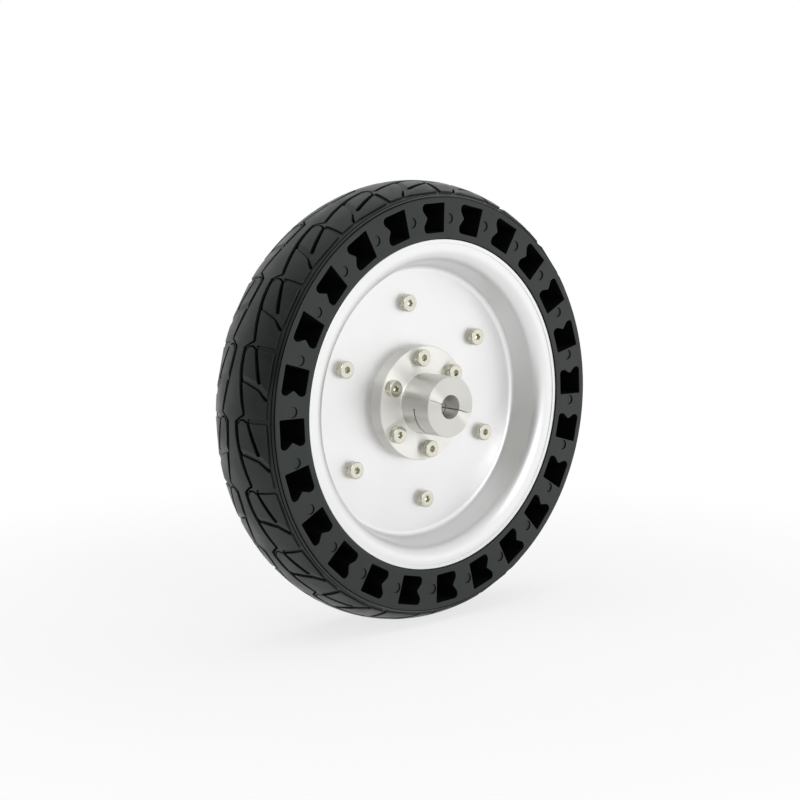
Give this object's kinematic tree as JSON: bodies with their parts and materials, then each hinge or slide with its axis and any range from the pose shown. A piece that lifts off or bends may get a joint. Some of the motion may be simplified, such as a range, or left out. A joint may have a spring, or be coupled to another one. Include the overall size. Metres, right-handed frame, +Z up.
{
  "type": "airless honeycomb wheel",
  "caption": "Airless wheel: a solid rubber tyre with honeycomb openings and a moulded tread, held between dished aluminium rim halves that are screwed to a split clamp hub for a plain shaft.",
  "frame": {"origin": "the wheel's centre on the axle, in the mid-plane where the rim halves meet", "axes": "+Z up, Y along the axle, with the hub's clamp neck pointing to -Y"},
  "size_m": [0.2192, 0.0524, 0.2192],
  "materials": {
    "tyre_rubber": "matt moulded rubber",
    "rim_aluminium": "satin, clear anodised",
    "hub_aluminium": "fine turned, clear anodised",
    "screw_steel": "nickel plated"
  },
  "bodies": {
    "root": {"tyre": "tyre_rubber", "rim_front_half": "rim_aluminium", "rim_back_half": "rim_aluminium", "hub": "hub_aluminium", "rim_screws": "screw_steel", "rim_nuts": "screw_steel", "hub_screws": "screw_steel", "hub_nuts": "screw_steel", "clamp_screw": "screw_steel"}
  },
  "joints": []
}
